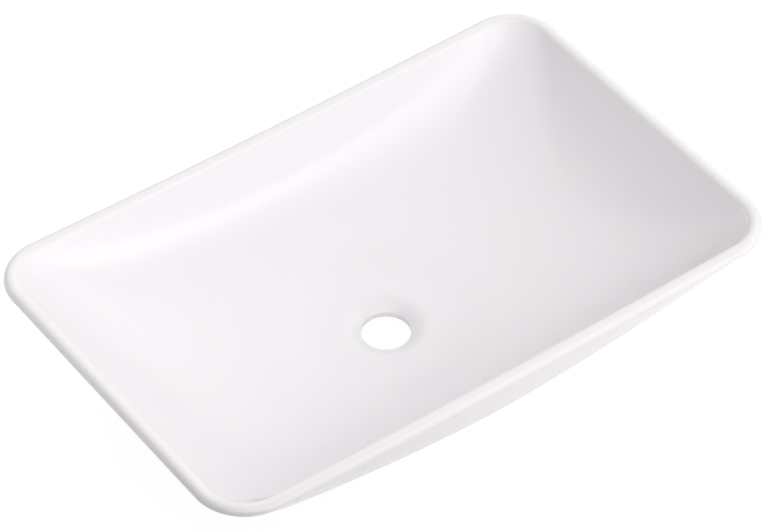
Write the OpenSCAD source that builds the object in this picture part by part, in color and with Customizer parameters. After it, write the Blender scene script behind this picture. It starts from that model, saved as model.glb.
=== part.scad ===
// Countertop basin: one slip-cast, glazed ceramic bowl with a thin rim and an unglazed foot ring.
// The counter is z = 0, X runs along the basin and Y from front to back. All sizes are millimetres.

/* [Basin] */
// Overall length, along the counter
basin_l = 600; // [520:5:700]
// Overall width, from front to back
basin_w = 385; // [340:5:440]
// Height from the counter to the rim's corners
basin_h = 122; // [118:1:140]
// Plan radius of the rim's outer corners
corner_r = 50; // [40:1:80]

/* [Rim] */
// Width of the rim, from its outer edge to the edge of the bowl
rim_w = 13; // [11:0.5:16]
// Width of the level stretch between the rim's two roundings
rim_top_w = 0.5; // [0.5:0.25:3]
// Radius of the rim's outer edge
rim_edge_r = 6.5; // [3:0.5:7]
// How far the middle of the long sides dips below the corners
rim_dip = 4.5; // [0:0.5:8]
// Height of the upright lip around the outside
lip_h = 7.5; // [7:0.5:12]
// How far the lip draws in towards its lower edge
lip_draw = 1.5; // [0.5:0.25:3]

/* [Bowl] */
// Depth from the rim's corners to the floor beside the drain
bowl_depth = 101; // [90:1:105]
// How much the dished floor climbs by the short ends
end_rise = 41; // [20:1:50]
// How much the dished floor climbs by the long sides
side_rise = 44; // [20:1:50]
// Steepness of the short end walls at the rim, in degrees
end_wall_a = 52; // [45:0.5:65]
// Steepness of the long side walls at the rim, in degrees
side_wall_a = 73; // [55:0.5:78]
// Steepness of the walls at the corners, in degrees
corner_wall_a = 53; // [40:0.5:60]
// Power of the floor's curve, 2 for an even dish and more for a flatter middle
floor_power = 2.3; // [1.8:0.1:3.5]
// Power by which a wall's steepness fades from its middle to the corners
fade_power = 1.4; // [1:0.1:4]
// Power of the cove from wall to floor, more for a tighter cove
cove_power = 2.6; // [2:0.1:4]
// Power of the same cove on the outside, more for a fuller belly
belly_power = 3.4; // [2.4:0.1:4]
// Growth of the corner radius for each millimetre inward from the rim
corner_spread = 0.6; // [0.3:0.05:1.5]
// Length over which the walls' hold on the floor is eased across the middle
middle_ease = 45; // [20:1:80]

/* [Ceramic] */
// Thickness of the ceramic under the floor
wall_t = 10; // [8:0.5:13]

/* [Drain] */
// Diameter of the drain hole
drain_d = 46; // [44:0.5:50]
// Diameter of the recess around the drain hole
recess_d = 80; // [74:1:90]
// Depth of the recess around the drain hole
recess_depth = 8; // [4:0.5:10]
// Steepness of the recess at the hole's rounded edge, in degrees
recess_a = 38; // [28:1:50]
// Radius of the hole's rounded upper edge
drain_edge_r = 1.4; // [0.8:0.2:4]
// Length of the straight wall of the hole, below its rounded edge
drain_wall = 5; // [4:0.5:9]
// Diameter of the flat boss under the drain
boss_d = 76; // [68:1:82]
// Width of the cove round the boss
boss_cove = 6; // [3:0.5:9]

/* [Foot] */
// Length of the foot
foot_l = 340; // [260:5:400]
// Width of the foot
foot_w = 190; // [150:5:220]
// Width of the foot's standing face
foot_t = 12; // [8:0.5:18]
// Height of the strip at the foot's bottom that is wiped free of glaze
strip_h = 3.5; // [2:0.5:6]
// Plan radius of the foot's corners
foot_r = 62; // [30:1:74]
// How far the foot's inner face draws in on its way up
foot_draw = 2; // [0.5:0.5:5]
// Radius of the cove between the hull and the foot
foot_cove = 7; // [3:0.5:9]

/* [Hidden] */

// Points on each corner, and between the corners on the long and the short sides
CORNER_N = 8;
LONG_N = 17;
SHORT_N = 11;
// Rings of points down the bowl, along the hull and under the floor
BOWL_N = 21;
HULL_N = 14;
VAULT_N = 6;
// Spacing of the rings, closer together near the rim
RING_POWER = 1.5;
// Steps along the rim's inner rounding, the hole's edge and the recess
ROLL_STEPS = 3;
EDGE_STEPS = 3;
RECESS_STEPS = 8;
ROUND_FN = 80;
// Width of the flat round the recess, and of the blend from it into the dish
FLAT_W = 3;
BLEND_W = 60;
// How far a cut runs past the face that it opens
CUT = 1;
// Keeps a division or a power clear of zero
TINY = 0.001;

half = [basin_l, basin_w] / 2;
foot_half = [foot_l, foot_w] / 2;
// Width of the rounding from the rim's top into the bowl
roll_w = rim_w - rim_edge_r - rim_top_w;
// Where the recess meets the hole's rounded edge
recess_inner_r = drain_d / 2 + drain_edge_r * (1 - sin(recess_a));
floor_r = recess_d / 2 + FLAT_W;
floor_blend_r = floor_r + BLEND_W;

// Heights above the counter, from the rim down to the boss
rim_z = basin_h;
lip_z = rim_z - lip_h;
floor_z = rim_z - bowl_depth;
drain_edge_z = floor_z - recess_depth - drain_edge_r * cos(recess_a);
boss_z = drain_edge_z - drain_wall;
// Depth of the hull below the lip's edge, which leaves wall_t under the floor
hull_depth = lip_z - (floor_z - wall_t);

function mix(a, b, t) = a + (b - a) * t;
function smooth(t) = let (c = min(max(t, 0), 1)) c * c * (3 - 2 * c);
function soft_min(a, b, power) = pow(pow(a, -power) + pow(b, -power), -1 / power);
function eased(v) = sqrt(v * v + middle_ease * middle_ease);
// Angles of n even steps along a quarter turn
function quarter(n) = [for (k = [1 : n]) 90 * k / n];

// Rounded rectangle with half sizes h and corner radius r, counterclockwise from the +X end
function rounded(h, r) = [for (q = [0 : 3]) each concat(corner_arc(q, h, r), straight_side(q, h, r))];
function corner_point(q, a, h, r) =
    [(q % 3 == 0 ? 1 : -1) * (h.x - r), (q < 2 ? 1 : -1) * (h.y - r)] + r * [cos(a), sin(a)];
function corner_arc(q, h, r) =
    [for (i = [0 : CORNER_N - 1]) corner_point(q, 90 * (q + i / (CORNER_N - 1)), h, r)];
function straight_side(q, h, r) =
    let (n = q % 2 == 0 ? LONG_N : SHORT_N, from = 90 * (q + 1))
    [for (i = [1 : n]) mix(corner_point(q, from, h, r), corner_point((q + 1) % 4, from, h, r), i / (n + 1))];

// Outlines of the basin and of its foot, moved in by inset
function outline(inset) = rounded([half.x - inset, half.y - inset], corner_r - inset);
function foot_outline(inset) = rounded([foot_half.x - inset, foot_half.y - inset], foot_r - inset);

rim_outline = outline(0);
bowl_outline = outline(rim_w);
COUNT = len(rim_outline);
// Direction of each point of the outline, once the outline is squeezed into a square
turn = [for (p = rim_outline) atan2(p.y / half.y, p.x / half.x)];
function round_outline(r) = [for (a = turn) r * [cos(a), sin(a)]];

// Distance in from the rim, measured along contours whose corners grow rounder inward.
// u and v are the distances from the short and the long side, r is the corner radius at the rim.
// A contour at distance d has the corner radius r + corner_spread * d, and this solves for d.
function reach(u, v, r) =
    let (near = min(u, v), far = max(u, v), k = 1 + corner_spread, s = u + v,
        a = 2 * k * k - corner_spread * corner_spread,
        b = r * (4 * k - 2 * corner_spread) - 2 * k * s,
        c = r * r - 2 * r * s + u * u + v * v)
    far >= r + k * near ? near : (sqrt(max(b * b - 4 * a * c, 0)) - b) / (2 * a);

// Steepness of the wall above a plan point: that of the nearest side, fading to the corners'
function steepness(u, v, x, y) =
    let (ends = mix(tan(end_wall_a), tan(corner_wall_a), pow(y, fade_power)),
        sides = mix(tan(side_wall_a), tan(corner_wall_a), pow(x, fade_power)))
    (ends * v * v + sides * u * u) / (u * u + v * v + TINY);

// Distances of p from the short and the long sides of the outline moved in by inset, and its place
// between the middle and those sides as shares
function place(p, inset) =
    let (h = [half.x - inset, half.y - inset])
    [max(eased(h.x) - eased(p.x), 0), max(eased(h.y) - eased(p.y), 0),
        min(abs(p.x) / h.x, 1), min(abs(p.y) / h.y, 1)];
function slope_at(p, inset) = let (q = place(p, inset)) steepness(q[0], q[1], q[2], q[3]);

// Depth of a dished surface at plan point p, below its edge, which is the outline moved in by inset.
// It is the lesser of a sloping wall and a dished floor, with a cove where they meet.
function dish(p, inset, depth, power) =
    let (q = place(p, inset),
        wall = slope_at(p, inset) * reach(q[0], q[1], corner_r - inset),
        share = depth / bowl_depth,
        climb = end_rise * pow(q[2], floor_power) + side_rise * pow(q[3], floor_power))
    wall < TINY ? 0 : soft_min(wall, depth - share * climb, power);

// Height of the rounding from the rim's top down to a wall of the given slope, roll_w wide
function roll_drop(slope) = roll_w * tan(atan(slope) / 2);

function dip(p) = rim_dip * (1 - pow(p.x / half.x, 2)) * pow(p.y / half.y, 2);
function bowl_height(p) =
    let (drop = roll_drop(slope_at(p, rim_w)),
        z = rim_z - drop - dip(p) - dish(p, rim_w, bowl_depth - drop, cove_power))
    mix(floor_z, z, smooth((norm(p) - floor_r) / (floor_blend_r - floor_r)));
function hull_height(p) = lip_z - dip(p) - dish(p, lip_draw, hull_depth, belly_power);

function lift(p, z) = [p.x, p.y, z];
function ring_step(i, n) = pow(i / n, RING_POWER);

// Rings of the bowl, from the flat round the drain out to the rim
function bowl_rings() =
    let (inner = round_outline(floor_r))
    [for (k = [BOWL_N : -1 : 0])
        [for (i = [0 : COUNT - 1])
            let (p = mix(bowl_outline[i], inner[i], ring_step(k, BOWL_N))) lift(p, bowl_height(p))]];

// Point i of a rim ring, moved in by inset and down by drop
function rim_point(i, inset, drop) =
    let (p = mix(rim_outline[i], bowl_outline[i], inset / rim_w)) lift(p, rim_z - dip(p) - drop);

// Arc from the bowl's wall to the rim's top, which leaves the wall at the wall's own slope
function inner_edge_rings() =
    [for (k = [ROLL_STEPS - 1 : -1 : 0])
        [for (i = [0 : COUNT - 1])
            let (slope = atan(slope_at(bowl_outline[i], rim_w)),
                r = roll_w / sin(slope),
                a = slope * k / ROLL_STEPS)
            rim_point(i, rim_w - roll_w + r * sin(a), r * (1 - cos(a)))]];
function outer_edge_rings() =
    [for (a = concat(0, quarter(4)))
        [for (i = [0 : COUNT - 1]) rim_point(i, rim_edge_r * (1 - sin(a)), rim_edge_r * (1 - cos(a)))]];
// Ring halfway down the lip, where a quarter of the draw is reached
function lip_ring() =
    [for (i = [0 : COUNT - 1]) rim_point(i, lip_draw / 4, mix(rim_edge_r, lip_h, 1 / 2))];

// Rings of the hull, from the lip's edge in to the cove above the foot
function hull_rings() =
    let (from = outline(lip_draw), to = foot_outline(-foot_cove))
    [for (k = [0 : HULL_N])
        [for (i = [0 : COUNT - 1])
            let (p = mix(from[i], to[i], ring_step(k, HULL_N)),
                z = k == 0 ? lip_z - dip(p) : hull_height(p))
            lift(p, z)]];

// Cove from the hull into the foot's upright face, as a quarter of a circle
function foot_cove_rings() =
    let (edge = foot_outline(-foot_cove))
    [for (a = quarter(3))
        let (ring = foot_outline(-foot_cove * (1 - sin(a))))
        [for (i = [0 : COUNT - 1])
            lift(ring[i], hull_height(edge[i]) - foot_cove * (1 - cos(a)))]];
function foot_rings() =
    [for (inset = [0, foot_t]) [for (p = foot_outline(inset)) lift(p, strip_h)]];

// Rings under the floor, from the foot's inner face in to the boss
function vault_rings() =
    let (from = foot_outline(foot_t + foot_draw), to = round_outline(boss_d / 2 + boss_cove))
    [for (k = [0 : VAULT_N])
        [for (i = [0 : COUNT - 1]) let (p = mix(from[i], to[i], k / VAULT_N)) lift(p, hull_height(p))]];
function boss_rings() =
    [for (a = quarter(2))
        [for (p = round_outline(boss_d / 2 + boss_cove * (1 - sin(a))))
            lift(p, mix(floor_z - wall_t, boss_z, 1 - cos(a)))]];

// Closed solid through rings of COUNT points each, the first and last ring being flat
module skin(rings) {
    last = len(rings) - 1;
    bands = [for (k = [0 : last - 1], i = [0 : COUNT - 1])
        let (j = (i + 1) % COUNT, a = k * COUNT, b = a + COUNT)
        each [[a + i, a + j, b + j], [a + i, b + j, b + i]]];
    caps = [[for (i = [COUNT - 1 : -1 : 0]) i], [for (i = [0 : COUNT - 1]) last * COUNT + i]];
    polyhedron([for (ring = rings) each ring], concat(bands, caps), convexity = 8);
}

// Trumpet-shaped recess and rounded edge of the drain hole, as the outline that is turned and cut away.
// The recess deepens by a power of the way in from its rim, which gives it the slope recess_a at the edge.
module recess_profile() {
    width = recess_d / 2 - recess_inner_r;
    power = tan(recess_a) * width / recess_depth;
    trumpet = [for (k = [0 : RECESS_STEPS])
        let (t = k / RECESS_STEPS) [recess_d / 2 - width * t, floor_z - recess_depth * pow(t, power)]];
    edge = [for (k = [1 : EDGE_STEPS])
        let (a = mix(recess_a, 90, k / EDGE_STEPS))
        [drain_d / 2 + drain_edge_r * (1 - sin(a)), drain_edge_z + drain_edge_r * cos(a)]];
    polygon(concat([[0, floor_z + CUT], [recess_d / 2, floor_z + CUT]], trumpet, edge, [[0, drain_edge_z]]));
}

// The glazed casting: bowl, rim, lip, hull, foot and the boss under the drain
module basin_body() color("white") difference() {
    skin(concat(bowl_rings(), inner_edge_rings(), outer_edge_rings(), [lip_ring()], hull_rings(),
        foot_cove_rings(), foot_rings(), vault_rings(), boss_rings()));
    rotate_extrude($fn = ROUND_FN) recess_profile();
    translate([0, 0, boss_z - CUT])
        cylinder(h = floor_z - boss_z + 2 * CUT, d = drain_d, $fn = ROUND_FN);
}

// The foot's standing strip, wiped free of glaze before firing so that it can stand in the kiln
module foot_ring() color("tan") linear_extrude(strip_h) difference() {
    polygon(foot_outline(0));
    polygon(foot_outline(foot_t));
}

basin_body();
foot_ring();
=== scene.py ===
# %% [markdown]
# # A countertop basin in white glazed ceramic
# The real object is one piece of clay: a slip-cast bowl with a thin rim, dipped in white glaze and fired.
# It stands on a foot ring whose underside is wiped free of glaze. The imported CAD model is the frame, so
# each surface below takes its place and its overall size from it, and only refines what lies between.

# %% Load the frame
import math
import bpy
import numpy as np
from mathutils import Matrix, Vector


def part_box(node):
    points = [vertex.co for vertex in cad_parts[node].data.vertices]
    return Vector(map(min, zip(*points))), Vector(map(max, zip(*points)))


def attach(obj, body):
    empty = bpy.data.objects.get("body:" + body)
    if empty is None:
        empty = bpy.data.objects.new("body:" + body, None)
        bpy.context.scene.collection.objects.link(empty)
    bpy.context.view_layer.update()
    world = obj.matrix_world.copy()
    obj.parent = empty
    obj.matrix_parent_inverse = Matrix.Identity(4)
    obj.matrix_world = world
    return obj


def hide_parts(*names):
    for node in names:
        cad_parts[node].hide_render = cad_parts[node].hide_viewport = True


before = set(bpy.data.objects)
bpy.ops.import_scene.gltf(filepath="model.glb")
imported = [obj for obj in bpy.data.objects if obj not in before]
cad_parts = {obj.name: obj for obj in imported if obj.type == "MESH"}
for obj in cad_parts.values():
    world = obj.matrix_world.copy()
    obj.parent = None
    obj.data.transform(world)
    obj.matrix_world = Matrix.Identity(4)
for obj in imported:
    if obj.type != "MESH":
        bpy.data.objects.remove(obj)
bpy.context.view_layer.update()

MM = 0.001
body_low, body_high = (np.array(corner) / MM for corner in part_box("basin_body"))
foot_low, foot_high = (np.array(corner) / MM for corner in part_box("foot_ring"))
print("basin, mm:", (body_high - body_low).round(1), "foot, mm:", (foot_high - foot_low).round(1))

# %% [markdown]
# ## The sizes
# All lengths are millimetres. The overall sizes come from the frame. The others are the ones that the
# casting was drawn with: the rim, the dish of the floor, the slopes of the walls and the drain.

# %% Sizes of the casting
half_x, half_y = body_high[0], body_high[1]
rim_z = body_high[2]
strip_z = foot_high[2]
foot_half_x, foot_half_y = foot_high[0], foot_high[1]

corner_r = 50.0
rim_w = 13.0
rim_top_w = 0.5
rim_edge_r = 6.5
roll_w = rim_w - rim_edge_r - rim_top_w
rim_dip = 4.5
lip_h = 7.5
lip_draw = 1.5

bowl_depth = 101.0
end_rise = 41.0
side_rise = 44.0
end_slope = math.tan(math.radians(52))
side_slope = math.tan(math.radians(73))
corner_slope = math.tan(math.radians(53))
floor_power = 2.3
fade_power = 1.4
cove_power = 2.6
belly_power = 3.4
corner_spread = 0.6
middle_ease = 45.0
wall_t = 10.0

drain_r = 23.0
drain_wall = 5.0
drain_edge_r = 1.4
recess_r = 40.0
recess_depth = 8.0
recess_angle = math.radians(38)
flat_margin = 3.0
blend_w = 60.0
boss_r = 38.0
boss_cove = 6.0

foot_r = 62.0
foot_t = 12.0
foot_draw = 2.0
foot_cove = 7.0
glaze_edge = 0.7
bore_edge = 0.8

floor_z = rim_z - bowl_depth
recess_z = floor_z - recess_depth
edge_z = recess_z - drain_edge_r * math.cos(recess_angle)
boss_z = edge_z - drain_wall
lip_z = rim_z - lip_h
flat_r = recess_r + flat_margin
blend_r = flat_r + blend_w
print("floor %.1f, drain's edge %.1f, boss %.1f mm above the counter" % (floor_z, recess_z, boss_z))

# %% [markdown]
# ## Outlines in plan
# The rim is a rounded rectangle. Every ring of the surface has the same number of points, so that rings
# can be joined into one sheet: points run along the four arcs and the four straight sides. A ring near the
# drain is a circle whose points lie in the same directions, so the mesh turns from one into the other.

# %% Outlines
CORNER_N = 32
LONG_N = 64
SHORT_N = 40


def rounded(hx, hy, r):
    """Points of a rounded rectangle, counterclockwise from the +X end of the first corner's arc.
    A corner's points are its centre plus r times (cos, sin) of evenly spaced angles, and a side's
    points divide the straight line between two arcs evenly."""
    signs = np.array([[1, 1], [-1, 1], [-1, -1], [1, -1]])
    centres = signs * [hx - r, hy - r]
    pieces = []
    for q in range(4):
        a = np.radians(np.linspace(90 * q, 90 * q + 90, CORNER_N))
        arc = centres[q] + r * np.stack([np.cos(a), np.sin(a)], 1)
        start = centres[(q + 1) % 4] + r * np.array([np.cos(a[-1]), np.sin(a[-1])])
        count = LONG_N if q % 2 == 0 else SHORT_N
        t = np.linspace(0, 1, count + 2)[1:-1, None]
        pieces += [arc, arc[-1] + (start - arc[-1]) * t]
    return np.concatenate(pieces)


def outline(inset):
    return rounded(half_x - inset, half_y - inset, corner_r - inset)


def foot_outline(inset):
    return rounded(foot_half_x - inset, foot_half_y - inset, foot_r - inset)


rim_line = outline(0)
bowl_line = outline(rim_w)
turn = np.arctan2(rim_line[:, 1] / half_y, rim_line[:, 0] / half_x)
circle = np.stack([np.cos(turn), np.sin(turn)], 1)
print("points in a ring:", len(rim_line))

# %% [markdown]
# ## The dish
# A basin like this has no flat floor and no separate walls. Four walls lean in from the rim, steepest on
# the long sides, and a dished floor climbs to meet them. The walls fade into one another towards the
# corners, where the plan radius grows as one goes in. Sculpting or subdividing a cage could give this too,
# but glaze mirrors every dent, and a formula keeps the reflections clean.

# %% Distances and slopes
TINY = 1e-6


def eased(v):
    """Length that is smooth at the middle: the square root of v squared plus the ease squared."""
    return np.sqrt(v * v + middle_ease ** 2)


def reach(u, v, r):
    """Distance in from the edge along contours whose corner radius is r + corner_spread * distance.
    u and v are the distances from the short and the long side. Beside a straight side it is the lesser
    of the two, and round a corner it is the smaller root of the contour's quadratic equation."""
    near = np.minimum(u, v)
    far = np.maximum(u, v)
    k = 1 + corner_spread
    s = u + v
    a = 2 * k * k - corner_spread ** 2
    b = r * (4 * k - 2 * corner_spread) - 2 * k * s
    c = r * r - 2 * r * s + u * u + v * v
    root = (np.sqrt(np.maximum(b * b - 4 * a * c, 0)) - b) / (2 * a)
    return np.where(far >= r + k * near, near, root)


def steepness(u, v, x, y):
    """Slope of the wall: that of the nearest side, fading to the corners' by a power of x or y."""
    ends = end_slope + (corner_slope - end_slope) * y ** fade_power
    sides = side_slope + (corner_slope - side_slope) * x ** fade_power
    return (ends * v * v + sides * u * u) / (u * u + v * v + TINY)


def place(p, inset):
    """Distances of plan points from the short and the long sides, and their shares of the way there."""
    hx, hy = half_x - inset, half_y - inset
    return (np.maximum(eased(hx) - eased(p[..., 0]), 0), np.maximum(eased(hy) - eased(p[..., 1]), 0),
            np.minimum(abs(p[..., 0]) / hx, 1), np.minimum(abs(p[..., 1]) / hy, 1))


edge_slopes = np.degrees(np.arctan(steepness(*place(bowl_line, rim_w))))
print("walls at their edge, degrees: %.0f to %.0f" % (edge_slopes.min(), edge_slopes.max()))

# %% [markdown]
# ## Heights inside and outside
# On the real basin the floor and a wall meet in a cove that a hand can wipe clean. A fillet would need two
# separate surfaces with a line between them. Here the lesser of the two depths is taken softly instead, so
# the cove comes by itself. The outside is the same dish, lower by the thickness of the clay.

# %% Heights of the bowl and of the hull
def dish(p, inset, depth, power):
    """Depth below the edge: a soft minimum of the wall's depth and of a floor that climbs towards the
    sides by a power of the distance from the middle."""
    u, v, x, y = place(p, inset)
    wall = np.maximum(steepness(u, v, x, y) * reach(u, v, corner_r - inset), TINY)
    climb = end_rise * x ** floor_power + side_rise * y ** floor_power
    floor = depth - depth / bowl_depth * climb
    return (wall ** -power + floor ** -power) ** (-1 / power)


def dip(p):
    """How far the rim lies below its corners: a parabola along the long sides."""
    return rim_dip * (1 - (p[..., 0] / half_x) ** 2) * (p[..., 1] / half_y) ** 2


def smooth(t):
    c = np.clip(t, 0, 1)
    return c * c * (3 - 2 * c)


def roll_drop(p):
    """Height of the arc from the rim's top down to the bowl's wall: its width times the tangent of half
    the wall's slope."""
    return roll_w * np.tan(np.arctan(steepness(*place(p, rim_w))) / 2)


def bowl_height(p):
    """Height of the inside: the dish, blended into a flat round the drain's recess."""
    drop = roll_drop(p)
    z = rim_z - drop - dip(p) - dish(p, rim_w, bowl_depth - drop, cove_power)
    return floor_z + (z - floor_z) * smooth((np.hypot(p[..., 0], p[..., 1]) - flat_r) / (blend_r - flat_r))


def hull_height(p):
    """Height of the outside: the same dish, lower by the wall's thickness."""
    return lip_z - dip(p) - dish(p, lip_draw, lip_z - (floor_z - wall_t), belly_power)


beside_recess = np.array([blend_r, 0.0])
floor_clay = bowl_height(beside_recess) - hull_height(beside_recess)
print("clay of the floor beside the recess, from top to bottom, mm: %.1f" % floor_clay)

# %% [markdown]
# ## One sheet, ring by ring
# The whole casting is one closed sheet. It starts in the drain hole, comes up the recess, runs out along the
# bowl, over the rim, down the lip, under the hull to the foot, and back beneath the floor to the hole. It
# ends where it began, so it needs no poles and has no open edges.

# %% Helpers for rings
def lift(p, z):
    """Adds heights to plan points: z is one number or one for each point."""
    return np.concatenate([p, np.broadcast_to(z, p.shape[:-1])[..., None]], -1)


def between(start, end, steps, power=1.0):
    """Plan points of rings from one outline to another, closer together near the start as power grows."""
    g = (np.linspace(0, 1, steps) ** power)[:, None, None]
    return start + (end - start) * g


def turned(radii, heights):
    """Circular rings from a profile of radii and heights."""
    return lift(np.asarray(radii)[:, None, None] * circle, np.asarray(heights)[:, None])


print("one ring, points and coordinates:", lift(rim_line, rim_z).shape)

# %% [markdown]
# ## Drain and bowl
# A basin waste drops into the hole and its flange lies in the shallow recess, which ends in a rounded edge.
# Water has to find its way here from anywhere, so the recess opens like a trumpet into the floor and nothing
# stands up round it. Both are turned shapes, so their rings are circles with a radius and a height each.

# %% Drain and bowl
BORE_RINGS = 5
DRAIN_EDGE_RINGS = 10
RECESS_RINGS = 30
BOWL_RINGS = 100
BOWL_CROWDING = 1.5


def drain_rings():
    """Up the drain hole, over its rounded edge and up the recess. The recess rises by its depth times
    1 - (1 - t) to a power, and the power gives it the edge's slope where t is 0."""
    bore = np.linspace(boss_z + bore_edge, edge_z, BORE_RINGS)[:-1]
    a = np.linspace(math.pi / 2, recess_angle, DRAIN_EDGE_RINGS)
    edge = drain_r + drain_edge_r * (1 - np.sin(a))
    t = np.linspace(0, 1, RECESS_RINGS)[1:]
    width = recess_r - edge[-1]
    power = math.tan(recess_angle) * width / recess_depth
    slope = floor_z - recess_depth * (1 - t) ** power
    return turned(np.concatenate([0 * bore + drain_r, edge, edge[-1] + width * t]),
                  np.concatenate([bore, edge_z + drain_edge_r * np.cos(a), slope]))


def bowl_rings():
    """From the flat round the recess out to the edge of the bowl."""
    p = between(bowl_line, flat_r * circle, BOWL_RINGS, BOWL_CROWDING)[::-1]
    return lift(p, bowl_height(p))


inside = np.concatenate([drain_rings(), bowl_rings()[1:]])
print("rings inside the basin:", len(inside))

# %% [markdown]
# ## Rim and lip
# The rim is what a hand and the light meet first. Its top is almost all rounding: a small arc outside, and
# inside an arc that meets each wall at the wall's own slope, so it is wide where the wall is flat and tight
# where the wall is steep. A bevel on a mesh would give one radius all round, so the arcs are drawn instead.

# %% Rim and lip
ROLL_RINGS = 13
RIM_EDGE_RINGS = 16
LIP_RINGS = 6


def rim_ring(inset, drop):
    """A ring along the rim, moved in by inset and down by drop, each one number or one for each point."""
    inset = np.broadcast_to(inset, len(rim_line))[:, None]
    p = rim_line + (bowl_line - rim_line) * inset / rim_w
    return lift(p, rim_z - dip(p) - drop)


def inner_edge_rings():
    """Rounding from the wall to the rim's top. Its arc leaves the wall at the wall's own slope, so its
    radius at each point is roll_w / sin slope."""
    slope = np.arctan(steepness(*place(bowl_line, rim_w)))
    r = roll_w / np.sin(slope)
    return np.stack([rim_ring(rim_w - roll_w + r * np.sin(slope * t), r * (1 - np.cos(slope * t)))
                     for t in np.linspace(1, 0, ROLL_RINGS)[1:]])


def rim_rings():
    """From the rim's top round its outer edge and down the lip to the hull."""
    edge = [rim_ring(rim_edge_r * (1 - math.sin(a)), rim_edge_r * (1 - math.cos(a)))
            for a in np.radians(np.linspace(0, 90, RIM_EDGE_RINGS))]
    lip = [rim_ring(lip_draw * t * t, rim_edge_r + (lip_h - rim_edge_r) * t)
           for t in np.linspace(0, 1, LIP_RINGS)[1:-1]]
    return np.stack(edge + lip)


over_rim = np.concatenate([inner_edge_rings(), rim_rings()])
print("rings over the rim:", len(over_rim))

# %% [markdown]
# ## Hull and foot
# The outside follows the inside, one wall's thickness lower, and runs through a cove into the foot. A
# solidify modifier on the bowl could thicken it too, but a casting's hull has its own softer curve, with the
# foot grown out of it. The rings crowd together under the lip, where the hull turns fastest.

# %% Hull and foot
HULL_RINGS = 64
HULL_CROWDING = 1.4
FOOT_COVE_RINGS = 9
FOOT_SIDE_SHARES = (0.3, 0.6, 0.9, 1)


def hull_rings():
    """From the lip in to the cove above the foot, then down the foot to its glaze line."""
    p = between(outline(lip_draw), foot_outline(-foot_cove), HULL_RINGS, HULL_CROWDING)
    hull = lift(p, hull_height(p))
    top_z = hull[-1, :, 2]
    cove = [lift(foot_outline(-foot_cove * (1 - math.sin(a))), top_z - foot_cove * (1 - math.cos(a)))
            for a in np.radians(np.linspace(0, 90, FOOT_COVE_RINGS)[1:])]
    side_z = cove[-1][:, 2]
    side = [lift(foot_outline(0), side_z + (strip_z + glaze_edge - side_z) * t) for t in FOOT_SIDE_SHARES]
    return np.concatenate([hull, np.stack(cove + side)])


outside = hull_rings()
print("rings outside the basin:", len(outside))

# %% [markdown]
# ## Underside
# Beneath the floor the clay is hollowed out between the foot and a boss round the hole, which gives the
# washer of a waste a flat face to press on. Nobody sees this side once the basin is glued down, but the part
# may be turned over, so it is drawn with the same care and fewer rings.

# %% Underside
QUARTER_TURN = np.radians([0, 30, 60, 90])
VAULT_RINGS = 26
BOSS_RINGS = 8


def under_rings():
    """The glaze's rounded edge on the foot, its standing face, the vault inside the foot and the boss."""
    rise, run = glaze_edge * (1 - np.sin(QUARTER_TURN)), glaze_edge * (1 - np.cos(QUARTER_TURN))
    outer = [lift(foot_outline(r), strip_z + z) for r, z in zip(run[1:], rise[1:])]
    inner = [lift(foot_outline(foot_t - r), strip_z + z) for r, z in zip(rise, run)]
    p = between(foot_outline(foot_t + foot_draw), (boss_r + boss_cove) * circle, VAULT_RINGS)
    vault = lift(p, hull_height(p))
    a = np.radians(np.linspace(0, 90, BOSS_RINGS)[1:])
    boss_h = floor_z - wall_t - boss_z
    boss = turned(boss_r + boss_cove * (1 - np.sin(a)), boss_z + boss_h * np.cos(a))
    bore = turned(drain_r + bore_edge * (1 - np.sin(QUARTER_TURN)),
                  boss_z + bore_edge * (1 - np.cos(QUARTER_TURN)))
    return np.concatenate([np.stack(outer + inner), vault, boss, bore[:-1]])


beneath = under_rings()
print("rings beneath the basin:", len(beneath))

# %% [markdown]
# ## Where the glaze is thin
# A molten glaze draws away from an outward edge over some millimetres and gathers in a hollow, so a little of
# the clay shines through at the rim. Cycles has a pointiness output for this, but it depends on the mesh. The
# rings are known here, so the curvature of their section is measured and stored for the material to read.

# %% Curvature of the section
PULL = 5.0


def windowed(running, along):
    """Growth of a running sum per mm, within PULL on both sides of each point along the section."""
    return np.stack([np.interp(s + PULL, s, total) - np.interp(s - PULL, s, total)
                     for s, total in zip(along.T, running.T)], 1) / (2 * PULL)


def bend(rings):
    """Curvature in 1/mm, positive over an edge and negative in a hollow. A point's turn is the change of the
    unit step to the next ring, against the outward normal. The mean of the turns is taken twice over a
    window, so that an edge fades into its surroundings as the glaze does."""
    before = rings - np.roll(rings, 1, 0)
    after = np.roll(rings, -1, 0) - rings
    before_l, after_l = (np.linalg.norm(step, axis=-1) for step in (before, after))
    normal = np.cross(before + after, np.roll(rings, -1, 1) - np.roll(rings, 1, 1))
    normal /= np.linalg.norm(normal, axis=-1, keepdims=True)
    turns = -((after / after_l[..., None] - before / before_l[..., None]) * normal).sum(-1)
    along = np.cumsum(before_l, 0)
    once = windowed(np.cumsum(turns, 0), along)
    return windowed(np.cumsum(once * before_l, 0), along)


section = np.concatenate([inside, over_rim, outside, beneath])
rim_bend = bend(section)[len(inside):len(inside) + len(over_rim)]
print("bend over the rim, 1/mm: up to %.3f" % rim_bend.max())

# %% [markdown]
# ## From rings to a mesh
# The rings and the points in a ring are the two parameters of a grid that closes both ways. Building the mesh
# from this grid keeps its faces in even rows along the rim, where a remesh or a boolean would break them up.

# %% Mesh from rings
LITRE = 0.001


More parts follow.
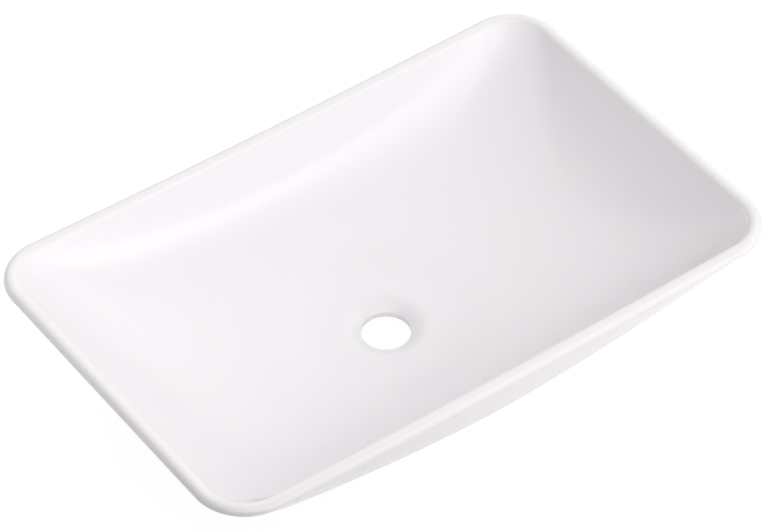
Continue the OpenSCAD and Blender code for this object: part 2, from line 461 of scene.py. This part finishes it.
def closed_sheet(name, rings, material):
    """A mesh whose vertex (i, j) is point j of ring i, with a face between each pair of neighbours both
    ways round. The signed volume tells which way its faces point, and they are turned outwards."""
    count, n = rings.shape[:2]
    points = rings.reshape(-1, 3) * MM
    i, j = np.meshgrid(np.arange(count), np.arange(n), indexing="ij")
    i2, j2 = (i + 1) % count, (j + 1) % n
    faces = np.stack([i * n + j, i * n + j2, i2 * n + j2, i2 * n + j], -1).reshape(-1, 4)
    a, b, c, d = (points[faces[:, k]] for k in range(4))
    volume = (np.cross(b - a, c - a) * a).sum() / 6 + (np.cross(c - a, d - a) * a).sum() / 6
    if volume < 0:
        faces = faces[:, ::-1]
    mesh = bpy.data.meshes.new(name)
    mesh.from_pydata(points.tolist(), [], faces.tolist())
    mesh.polygons.foreach_set("use_smooth", np.ones(len(faces), bool))
    curvature = mesh.attributes.new("bend", "FLOAT", "POINT")
    curvature.data.foreach_set("value", bend(rings).astype(np.float32).ravel())
    mesh.update()
    piece = bpy.data.objects.new(name, mesh)
    bpy.context.scene.collection.objects.link(piece)
    piece.data.materials.append(material)
    print("%s: %d triangles, %.2f litres of clay" % (name, 2 * len(faces), abs(volume) / LITRE))
    return piece


# %% [markdown]
# ## Colours and nodes
# Colours are written as the sRGB hex that an eye or a picker reads, and turned into the linear numbers that
# the shader works with. One helper adds a node with its settings and links, which keeps each material short.

# %% Helpers for materials
def linear(hex_colour):
    """Linear RGBA of an sRGB hex colour."""
    s = np.array([int(hex_colour[k:k + 2], 16) for k in (1, 3, 5)]) / 255
    rgb = np.where(s <= 0.04045, s / 12.92, ((s + 0.055) / 1.055) ** 2.4)
    return (*rgb.tolist(), 1.0)


def add_node(tree, kind, links=(), **settings):
    """Adds a node. A setting whose name is a socket's goes to that socket and others to the node, and a
    link is (output socket, name or number of this node's input)."""
    node = tree.nodes.new(kind)
    for key, value in settings.items():
        words = key.replace("_", " ")
        sockets = [s for s in node.inputs if s.name.lower() == words]
        if sockets:
            sockets[0].default_value = value
        else:
            setattr(node, key, value)
    for output, target in links:
        tree.links.new(output, node.inputs[target])
    return node


def scaled(tree, output, factor, offset=0.0):
    """A value times a factor plus an offset. The offset may be another node's output."""
    node = add_node(tree, "ShaderNodeMath", [(output, 0)], operation="MULTIPLY_ADD")
    node.inputs[1].default_value = factor
    if isinstance(offset, float):
        node.inputs[2].default_value = offset
    else:
        tree.links.new(offset, node.inputs[2])
    return node.outputs[0]


def ramp(tree, output, *stops):
    """A colour for a value: stops are (position, hex colour) in rising order."""
    node = add_node(tree, "ShaderNodeValToRGB", [(output, "Fac")])
    elements = node.color_ramp.elements
    while len(elements) < len(stops):
        elements.new(0.5)
    for element, (position, colour) in zip(elements, stops):
        element.position, element.color = position, linear(colour)
    return node.outputs["Color"]


def new_material(name):
    """A material with an empty tree and its output node."""
    material = bpy.data.materials.new(name)
    material.use_nodes = True
    material.node_tree.nodes.clear()
    return material, material.node_tree, material.node_tree.nodes.new("ShaderNodeOutputMaterial")


print("mid grey as the eye reads it is, in light: %.3f" % linear("#808080")[0])

# %% [markdown]
# ## The glaze
# Vitreous china is dipped in an opaque white glaze that melts to a glassy skin about half a millimetre thick.
# The eye sees a soft, even white under a sharp clear reflection. The skin is never quite flat: it keeps a
# faint waviness a few centimetres long, and that makes the edge of a reflection swim a little. It is thinnest
# over the rim, where it turns a touch warmer and duller, and thickest in the coves, where it is cool and
# slick. A clear coat over a white base could give the same look, but a glaze is a single glassy layer.

# %% Glaze material
THICK_GLAZE = "#F3F0F6"
GLAZE_WHITE = "#F4F1F4"
THIN_GLAZE = "#F3EFF1"
CLOUD_SIZE = 90 * MM
CLOUD_DETAIL = 2.0
WAVE_SIZE = 30 * MM
WAVE_DETAIL = 1.0
WAVE_HEIGHT = 0.06 * MM
SKIN_SIZE = 6 * MM
SKIN_DETAIL = 0.0
SKIN_HEIGHT = 0.004 * MM
MEAN_THINNESS = 0.5
CLOUD_SHARE = 0.3
EDGE_SHARE = 1.0
LEAST_ROUGHNESS = 0.06
ROUGHNESS_SPREAD = 0.04
GLAZE_IOR = 1.52


def glazed_china():
    """White under glass. Thinness is 0 where the glaze gathers and 1 where it is thinnest."""
    material, tree, out = new_material("glazed vitreous china")
    point = add_node(tree, "ShaderNodeTexCoord").outputs["Object"]
    # Thinness comes from clouds of the dipping and from the pull away from edges
    clouds = add_node(tree, "ShaderNodeTexNoise", [(point, "Vector")], scale=1 / CLOUD_SIZE,
                      detail=CLOUD_DETAIL)
    edges = add_node(tree, "ShaderNodeAttribute", attribute_name="bend").outputs["Fac"]
    clouded = scaled(tree, clouds.outputs["Fac"], CLOUD_SHARE, MEAN_THINNESS - CLOUD_SHARE / 2)
    thin = scaled(tree, edges, EDGE_SHARE, clouded)
    colour = ramp(tree, thin, (0.0, THICK_GLAZE), (MEAN_THINNESS, GLAZE_WHITE), (1.0, THIN_GLAZE))
    roughness = scaled(tree, thin, ROUGHNESS_SPREAD, LEAST_ROUGHNESS)
    # Waves of the melted glaze, and its finer skin over them
    waves = add_node(tree, "ShaderNodeTexNoise", [(point, "Vector")], scale=1 / WAVE_SIZE,
                     detail=WAVE_DETAIL)
    skin = add_node(tree, "ShaderNodeTexNoise", [(point, "Vector")], scale=1 / SKIN_SIZE, detail=SKIN_DETAIL)
    wavy = add_node(tree, "ShaderNodeBump", [(waves.outputs["Fac"], "Height")], distance=WAVE_HEIGHT)
    normal = add_node(tree, "ShaderNodeBump", [(skin.outputs["Fac"], "Height"), (wavy.outputs[0], "Normal")],
                      distance=SKIN_HEIGHT)
    shader = add_node(tree, "ShaderNodeBsdfPrincipled", [
        (colour, "Base Color"), (roughness, "Roughness"), (normal.outputs[0], "Normal")], ior=GLAZE_IOR)
    tree.links.new(shader.outputs[0], out.inputs["Surface"])
    return material


glaze = glazed_china()
print(glaze.name, GLAZE_WHITE)

# %% [markdown]
# ## The casting
# All rings of the section become one sheet, as the real casting is one skin of clay under one skin of glaze.
# Separate meshes for bowl, rim and hull would show a seam in the reflections wherever they met. The casting
# rides on the basin's only body and takes the place of its plain solid.

# %% Build the casting
casting = closed_sheet("basin_casting", section, glaze)
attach(casting, "root")
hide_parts("basin_body")

# %% [markdown]
# ## The foot's bare strip
# The glaze is wiped off the foot before firing, or it would weld the basin to the kiln shelf. What is left
# is fired clay: matt, warm and slightly sandy, with its edges rubbed down.

# %% Bare clay material
DARK_GROG = "#CDBFA8"
PALE_CLAY = "#E4DCCD"
GROG_SIZE = 2 * MM
GROG_DETAIL = 4.0
GROG_GRAIN = 0.7
GROG_HEIGHT = 0.1 * MM
DARK_BELOW = 0.3
PALE_ABOVE = 0.6
CLAY_ROUGHNESS = 0.8
CLAY_IOR = 1.5


def bare_clay():
    """Matt clay with no glass on it."""
    material, tree, out = new_material("bare fired clay")
    point = add_node(tree, "ShaderNodeTexCoord").outputs["Object"]
    # Grog and iron specks in the paler clay, which also make it rough to the touch
    specks = add_node(tree, "ShaderNodeTexNoise", [(point, "Vector")], scale=1 / GROG_SIZE,
                      detail=GROG_DETAIL, roughness=GROG_GRAIN).outputs["Fac"]
    colour = ramp(tree, specks, (DARK_BELOW, DARK_GROG), (PALE_ABOVE, PALE_CLAY))
    bump = add_node(tree, "ShaderNodeBump", [(specks, "Height")], distance=GROG_HEIGHT)
    shader = add_node(tree, "ShaderNodeBsdfPrincipled", [(colour, "Base Color"), (bump.outputs[0], "Normal")],
                      roughness=CLAY_ROUGHNESS, ior=CLAY_IOR)
    tree.links.new(shader.outputs[0], out.inputs["Surface"])
    return material


clay = bare_clay()
print(clay.name, DARK_GROG, "to", PALE_CLAY)

# %% [markdown]
# ## The strip itself
# It is a closed band under the foot with both lower edges rubbed round. On the real basin it is one with the
# casting. It is a piece of its own here because its surface differs, and the seam lies at the glaze's edge.

# %% Build the strip
STRIP_EDGE = 1.0
STRIP_EDGE_RINGS = 6
STRIP_SHOULDER = 0.6


def strip_rings():
    """Rings down the outer face, round both lower edges, and up the inner face."""
    a = np.radians(np.linspace(0, 90, STRIP_EDGE_RINGS))
    edge = list(zip(STRIP_EDGE * (1 - np.cos(a)), STRIP_EDGE * (1 - np.sin(a))))
    down = [(0, strip_z), (0, strip_z * STRIP_SHOULDER)] + edge
    up = [(foot_t - inset, z) for inset, z in down[::-1]]
    middle = foot_t / 2
    return np.stack([lift(foot_outline(inset), z) for inset, z in
                     down + [(middle, 0)] + up + [(middle, strip_z)]])


strip = closed_sheet("foot_strip", strip_rings(), clay)
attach(strip, "root")
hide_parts("foot_ring")

# %% [markdown]
# ## The floor
# The photograph is a catalogue picture on plain white, where the table has burnt out around the basin. A
# floor bright enough for that would light the hull too much. So the floor shows white only to the camera and
# in reflections, and is ordinary pale paper to all other light. It still keeps the basin's faint shadow.

# %% Floor
FLOOR_SIZE = 12.0
PAPER = "#EBE8EB"
SHADOW_PAPER = "#616161"
PAPER_GLOW = 0.93
WHITE = "#FFFFFF"


def either(tree, first, second):
    """The greater of two values, which is 1 where either of two ray types is meant."""
    return add_node(tree, "ShaderNodeMath", [(first, 0), (second, 1)], operation="MAXIMUM").outputs[0]


def white_floor():
    """Pale paper that camera, glossy and transmission rays see as glowing, with a little of its shadow."""
    material, tree, out = new_material("white paper floor")
    ray = add_node(tree, "ShaderNodeLightPath").outputs
    seen = either(tree, either(tree, ray["Is Camera Ray"], ray["Is Glossy Ray"]), ray["Is Transmission Ray"])
    paper = add_node(tree, "ShaderNodeBsdfDiffuse", color=linear(PAPER))
    shadow = add_node(tree, "ShaderNodeBsdfDiffuse", color=linear(SHADOW_PAPER))
    glow = add_node(tree, "ShaderNodeEmission", color=linear(WHITE), strength=PAPER_GLOW)
    backdrop = add_node(tree, "ShaderNodeAddShader", [(shadow.outputs[0], 0), (glow.outputs[0], 1)])
    mix = add_node(tree, "ShaderNodeMixShader", [(seen, 0), (paper.outputs[0], 1), (backdrop.outputs[0], 2)])
    tree.links.new(mix.outputs[0], out.inputs["Surface"])
    return material


def staged(name, corners, material):
    """A flat surface of the studio, which is no part of the basin."""
    mesh = bpy.data.meshes.new(name)
    mesh.from_pydata(corners, [], [(0, 1, 2, 3)])
    mesh.materials.append(material)
    surface = bpy.data.objects.new(name, mesh)
    bpy.context.scene.collection.objects.link(surface)
    return surface


half_floor = FLOOR_SIZE / 2
floor_corners = [(x * half_floor, y * half_floor, 0) for x, y in [(-1, -1), (1, -1), (1, 1), (-1, 1)]]
staged("floor", floor_corners, white_floor())
print("floor, m:", FLOOR_SIZE)

# %% [markdown]
# ## The light
# Glossy white has no colour of its own to show, so its shape is drawn by what it mirrors. The bright arc
# along the back wall is a long strip light on the right, seen in the glaze, and the grey of the right wall is
# a part of the studio where little shines. The photograph's arc fades softly on both sides, which a lamp with
# edges never does. So each source is a soft lobe in the world, as if it shone through a wide diffuser: full
# in its own direction, and less by a power of the angle to it. A high power is a narrow source.

# %% World
LIGHTS = [  # azimuth, elevation, narrowness, strength
    (25, 15, 70, 1.35),    # strip light on the right, its near end
    (42, 15, 70, 1.15),    # its middle
    (59, 15, 70, 1.35),    # its far end
    (0, 38, 20, 2.00),     # panel in front
    (-45, 38, 20, 1.95),   # panel at the camera's side
    (75, 30, 40, 0.85),    # panel beyond the strip light
    (110, 38, 20, 0.80),   # panel at the right-hand end
    (180, 38, 20, 0.70),   # panel behind
    (135, 8, 8, 0.90),     # bounce from the bright background
    (180, 65, 8, 0.60),    # ceiling
]


def direction(azimuth, elevation):
    """Unit vector towards a place, for angles in degrees. Azimuth 0 is the front and 90 the right end."""
    a, e = math.radians(azimuth), math.radians(elevation)
    return np.array([math.sin(a) * math.cos(e), -math.cos(a) * math.cos(e), math.sin(e)])


def lobe(tree, ray, way, power):
    """((1 + cosine of the angle between a ray and the way to the source) / 2) to a power."""
    cosine = add_node(tree, "ShaderNodeVectorMath", [(ray, 0)], operation="DOT_PRODUCT")
    cosine.inputs[1].default_value = way
    share = add_node(tree, "ShaderNodeMath", [(scaled(tree, cosine.outputs["Value"], 0.5, 0.5), 0)],
                     operation="POWER")
    share.inputs[1].default_value = power
    return share.outputs[0]


def studio_world():
    """A world that the camera sees as white, and everything else as the sum of the lights."""
    world = bpy.data.worlds.new("studio")
    world.use_nodes = True
    tree = world.node_tree
    tree.nodes.clear()
    ray = add_node(tree, "ShaderNodeTexCoord").outputs["Generated"]
    light = 0.0
    for azimuth, elevation, power, strength in LIGHTS:
        light = scaled(tree, lobe(tree, ray, direction(azimuth, elevation), power), strength, light)
    studio = add_node(tree, "ShaderNodeBackground", [(light, "Strength")], color=linear(WHITE))
    white = add_node(tree, "ShaderNodeBackground", color=linear(WHITE), strength=1.0)
    camera_ray = add_node(tree, "ShaderNodeLightPath").outputs["Is Camera Ray"]
    mix = add_node(tree, "ShaderNodeMixShader", [
        (camera_ray, 0), (studio.outputs[0], 1), (white.outputs[0], 2)])
    add_node(tree, "ShaderNodeOutputWorld", [(mix.outputs[0], "Surface")])
    return world


bpy.context.scene.world = studio_world()
print("lights:", len(LIGHTS))

# %% [markdown]
# ## The black card
# White china on white paper would lose its outline. So a photographer stands a black card beside it, just out
# of the picture: the lip's outer face then has something dark to mirror and gets less light. That draws the
# dark line down the left edge and round the near corner. The camera doesn't see the card itself.

# %% Black card
FLOCK_BLACK = "#141414"
CARD_WIDTH = 0.60
CARD_HEIGHT = 0.26
CARD_AWAY = 0.25
CARD_AZIMUTH = -42


def black_card():
    """A card on the floor, square to the direction in which it lies from the near left corner."""
    material, tree, out = new_material("black flock")
    flock = add_node(tree, "ShaderNodeBsdfDiffuse", color=linear(FLOCK_BLACK))
    tree.links.new(flock.outputs[0], out.inputs["Surface"])
    middle = np.array([-half_x, -half_y, 0]) * MM + direction(CARD_AZIMUTH, 0) * CARD_AWAY
    half_width = direction(CARD_AZIMUTH + 90, 0) * CARD_WIDTH / 2
    height = np.array([0, 0, CARD_HEIGHT])
    corners = [middle - half_width, middle + half_width, middle + half_width + height,
               middle - half_width + height]
    return staged("black_card", np.stack(corners).tolist(), material)


card = black_card()
card.visible_camera = False
print("card, m:", CARD_WIDTH, "by", CARD_HEIGHT)

# %% [markdown]
# ## The camera
# The far rim is only a little shorter than the near one, so the lens is long and far away. It looks down at
# 45 degrees from the front left. The focal length and the distance come from how much the rim's outline
# shrinks with distance, and the roll from the picture's slight tilt.

# %% Camera
IMAGE_W = 768
SENSOR_W = 36.0
FOCAL_PX = 3887
CAMERA_AWAY = 3.419
CAMERA_ROLL = math.radians(-0.40)
CAMERA_AZIMUTH = -35.82
CAMERA_ELEVATION = 45.08
AIM_X, AIM_Y = -16.6, -20.6


def looking(point, away):
    """Matrix of a camera at a point that looks against the direction away, with its X axis level."""
    side = np.cross([0, 0, 1], away)
    side /= np.linalg.norm(side)
    m = np.eye(4)
    m[:3, 0], m[:3, 1], m[:3, 2], m[:3, 3] = side, np.cross(away, side), away, point
    return Matrix(m.tolist())


aim = np.array([AIM_X, AIM_Y, rim_z]) * MM
to_camera = direction(CAMERA_AZIMUTH, CAMERA_ELEVATION)
camera_data = bpy.data.cameras.new("camera")
camera_data.sensor_width = SENSOR_W
camera_data.lens = FOCAL_PX * SENSOR_W / IMAGE_W
camera = bpy.data.objects.new("camera", camera_data)
bpy.context.scene.collection.objects.link(camera)
level = looking(aim + to_camera * CAMERA_AWAY, to_camera)
camera.matrix_world = level @ Matrix.Rotation(CAMERA_ROLL, 4, "Z")
bpy.context.scene.camera = camera
bpy.context.scene.view_settings.view_transform = "Standard"
print("lens, mm: %.0f, distance, m: %.2f" % (camera_data.lens, CAMERA_AWAY))
